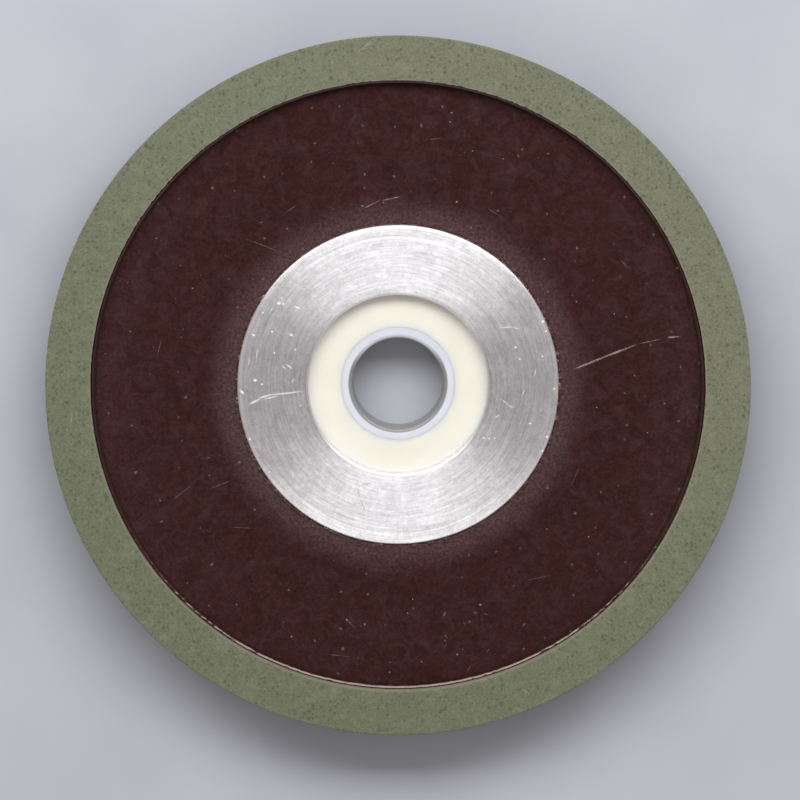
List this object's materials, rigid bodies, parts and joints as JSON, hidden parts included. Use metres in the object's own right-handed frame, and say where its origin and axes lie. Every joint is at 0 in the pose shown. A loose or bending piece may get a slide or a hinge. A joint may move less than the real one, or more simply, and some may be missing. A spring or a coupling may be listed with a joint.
{
  "type": "diamond grinding wheel",
  "caption": "Flat resin-bonded diamond grinding wheel with an abrasive face ring, a moulded body tapered at the back, an aluminium hub and loose bore reducers.",
  "frame": {"origin": "middle of the bore on the back face that rests on a surface", "axes": "+Z along the wheel's axis towards the abrasive face; X and Y are free, because the wheel is round"},
  "size_m": [0.125, 0.125, 0.01],
  "materials": {
    "abrasive": "matte, fine grit",
    "backing": "matte",
    "phenolic": "satin, speckled",
    "aluminium": "turned",
    "cream_nylon": "satin, moulded",
    "pale_polypropylene": "satin, translucent"
  },
  "bodies": {
    "wheel": {"abrasive_rim": "abrasive", "backing_ring": "backing", "wheel_body": "phenolic", "hub": "aluminium"},
    "bush": {"reducing_bush": "cream_nylon"},
    "sleeve": {"inner_sleeve": "pale_polypropylene"}
  },
  "joints": [
    {"name": "bush_slide", "type": "slide", "parent": "wheel", "child": "bush", "axis": [0, 0, 1], "range_m": [0, 0.012]},
    {"name": "sleeve_slide", "type": "slide", "parent": "bush", "child": "sleeve", "axis": [0, 0, 1], "range_m": [0, 0.012]}
  ]
}
